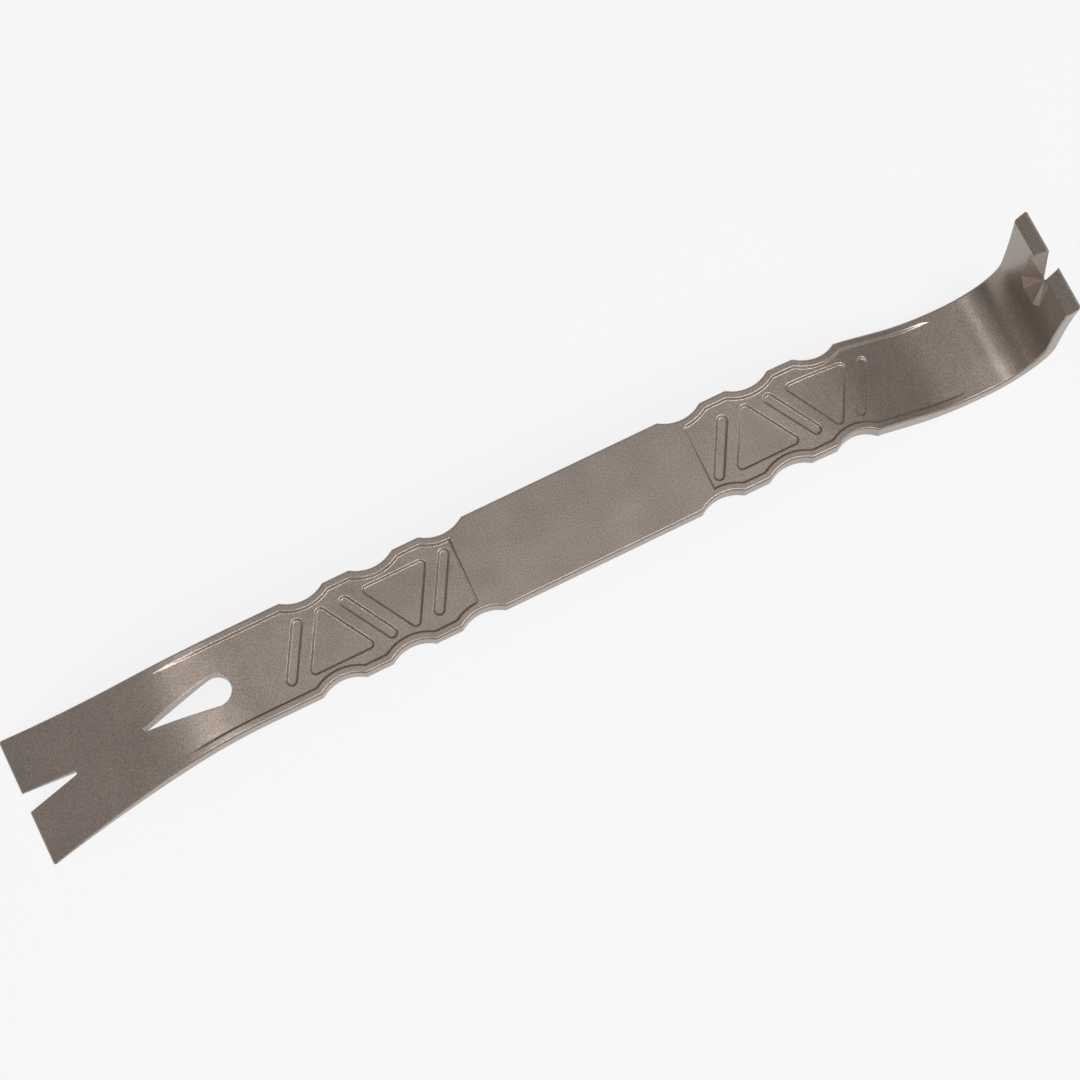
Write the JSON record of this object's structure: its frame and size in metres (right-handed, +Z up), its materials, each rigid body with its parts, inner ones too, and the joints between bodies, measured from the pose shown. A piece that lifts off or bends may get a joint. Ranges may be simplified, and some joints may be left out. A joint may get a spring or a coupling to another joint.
{
  "type": "pry bar",
  "caption": "Forged flat pry bar with a flared slotted blade, teardrop nail hole, ribbed scalloped grips and an upright notched claw.",
  "frame": {"origin": "middle of the overall length and width, on the ground under the blade tip and the heel", "axes": "+X along the bar from the blade to the claw, +Y across it, +Z up, the way the claw points"},
  "size_m": [0.378, 0.0462, 0.0673],
  "materials": {
    "powder_coat": "satin metallic bronze powder coat"
  },
  "bodies": {
    "root": {"forged_bar": "powder_coat"}
  },
  "joints": []
}
